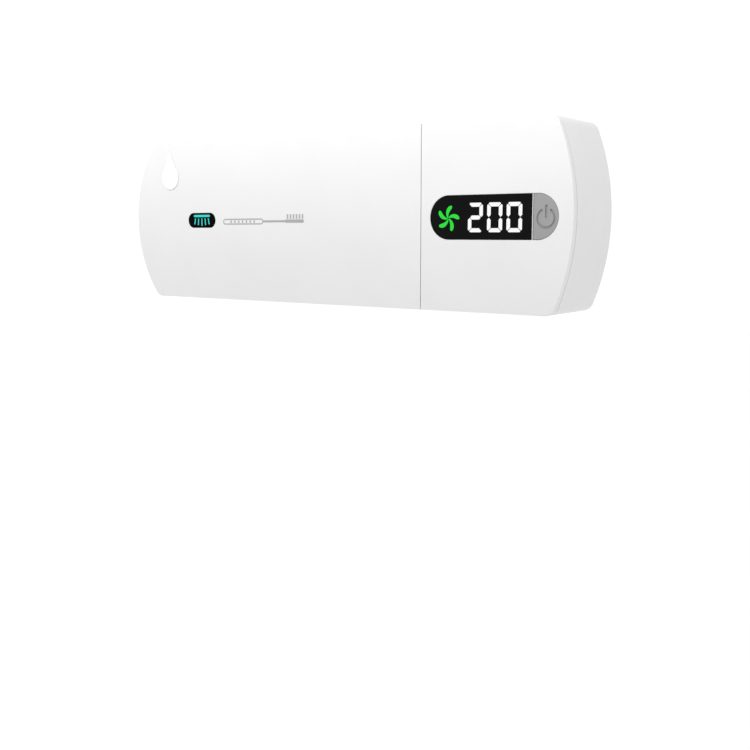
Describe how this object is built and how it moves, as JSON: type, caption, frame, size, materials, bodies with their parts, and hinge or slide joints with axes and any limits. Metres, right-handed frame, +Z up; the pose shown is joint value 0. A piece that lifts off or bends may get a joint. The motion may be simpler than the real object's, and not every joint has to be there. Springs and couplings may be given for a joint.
{
  "type": "toothbrush sanitizer",
  "caption": "Wall-mounted ultraviolet toothbrush sanitizer: a bow-ended white case with a flip-up door over a hanging brush bay and a display end with a power key.",
  "frame": {"origin": "centre of the adhesive pad's wall side, which is the plane Y = 0", "axes": "+X along the case towards the display end, +Y into the wall, +Z up; the front faces -Y"},
  "size_m": [0.2246, 0.0349, 0.07],
  "materials": {
    "white_shell": "satin moulded white",
    "rack_plastic": "fine textured light grey",
    "grip_rubber": "soft matt silicone",
    "black_glass": "polished black",
    "key_grey": "matt grey with an engraved power symbol",
    "badge_black": "satin black",
    "steel": "bright zinc",
    "magnet_nickel": "nickel plated",
    "mirror_aluminium": "polished sheet",
    "lamp_glass": "clear quartz",
    "board_green": "solder mask",
    "part_black": "moulded black",
    "cell_wrap": "shrink wrap",
    "foam_tape": "grey acrylic foam",
    "lit_white": "lit display segment",
    "lit_green": "lit display symbol",
    "lit_cyan": "lit badge symbol",
    "print_grey": "pad-printed grey ink"
  },
  "bodies": {
    "wall_mount": {"adhesive_pad": "foam_tape", "wall_bracket": "steel"},
    "unit": {"rear_housing": "white_shell", "strike_plate_left": "steel", "strike_plate_right": "steel", "brush_rack": "rack_plastic", "rack_screw_1": "steel", "rack_screw_2": "steel", "slot_grip_1": "grip_rubber", "slot_grip_2": "grip_rubber", "slot_grip_3": "grip_rubber", "slot_grip_4": "grip_rubber", "slot_grip_5": "grip_rubber", "lamp_tube": "lamp_glass", "lamp_cap_left": "rack_plastic", "lamp_cap_right": "rack_plastic", "lamp_clip_left": "rack_plastic", "lamp_clip_right": "rack_plastic", "lamp_reflector": "mirror_aluminium", "partition": "white_shell", "fan_frame": "part_black", "control_cover": "white_shell", "cover_screw_1": "steel", "cover_screw_2": "steel", "cover_screw_3": "steel", "cover_screw_4": "steel", "display_lens": "black_glass", "digit_module": "part_black", "display_board": "board_green", "display_screw_1": "steel", "display_screw_2": "steel", "display_screw_3": "steel", "display_screw_4": "steel", "key_switch": "part_black", "main_board": "board_green", "main_board_screw_1": "steel", "main_board_screw_2": "steel", "battery_pack": "cell_wrap", "lamp_driver": "part_black", "door_sensor": "part_black", "charging_port": "steel"},
    "front_door": {"door": "white_shell", "door_badge": "badge_black", "door_emblem": "white_shell", "door_magnet_left": "magnet_nickel", "door_magnet_right": "magnet_nickel", "hinge_pin_left": "steel", "hinge_pin_right": "steel"},
    "key": {"power_key": "key_grey"},
    "fan": {"fan_rotor": "part_black"}
  },
  "joints": [
    {"name": "lift_off", "type": "slide", "parent": "wall_mount", "child": "unit", "axis": [0, 0, 1], "range_m": [0, 0.0065]},
    {"name": "door_hinge", "type": "hinge", "parent": "unit", "child": "front_door", "pos_m": [-0.0235, -0.029, 0.0325], "axis": [-1, 0, 0], "range_deg": [0, 90]},
    {"name": "key_press", "type": "slide", "parent": "unit", "child": "key", "axis": [0, 1, 0], "range_m": [0, 0.0006], "stiffness_N_per_m": 600, "springref_m": -0.0008},
    {"name": "fan_spin", "type": "hinge", "parent": "unit", "child": "fan", "pos_m": [0.05185, -0.017, -0.0215], "axis": [1, 0, 0], "continuous": true}
  ]
}
